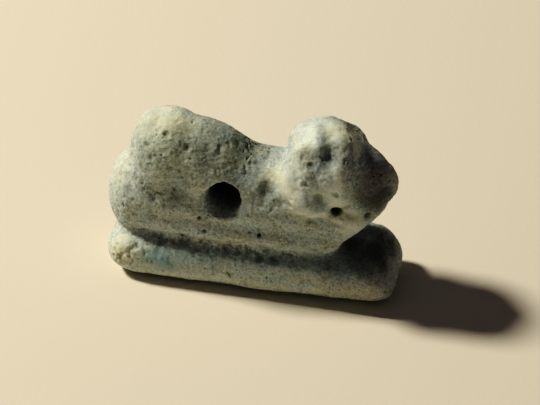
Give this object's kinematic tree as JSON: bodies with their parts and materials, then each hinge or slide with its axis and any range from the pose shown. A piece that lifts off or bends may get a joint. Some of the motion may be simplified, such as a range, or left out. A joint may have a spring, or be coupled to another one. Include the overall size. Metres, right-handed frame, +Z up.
{
  "type": "ram amulet",
  "caption": "Small amulet of a recumbent ram on a rounded rectangular plinth, moulded in one piece of worn glazed composition, with a suspension hole through the flanks.",
  "frame": {"origin": "centre of the bounding box's foot, on the flat underside of the plinth", "axes": "+X towards the ram's nose, +Y to the ram's left, +Z up"},
  "size_m": [0.0198, 0.0064, 0.0129],
  "materials": {
    "worn_faience": "worn grey-green glazed composition, matt and pitted, with buff and faint blue-green patches and dark dirt in the hollows"
  },
  "bodies": {
    "root": {"ram_amulet": "worn_faience"}
  },
  "joints": []
}
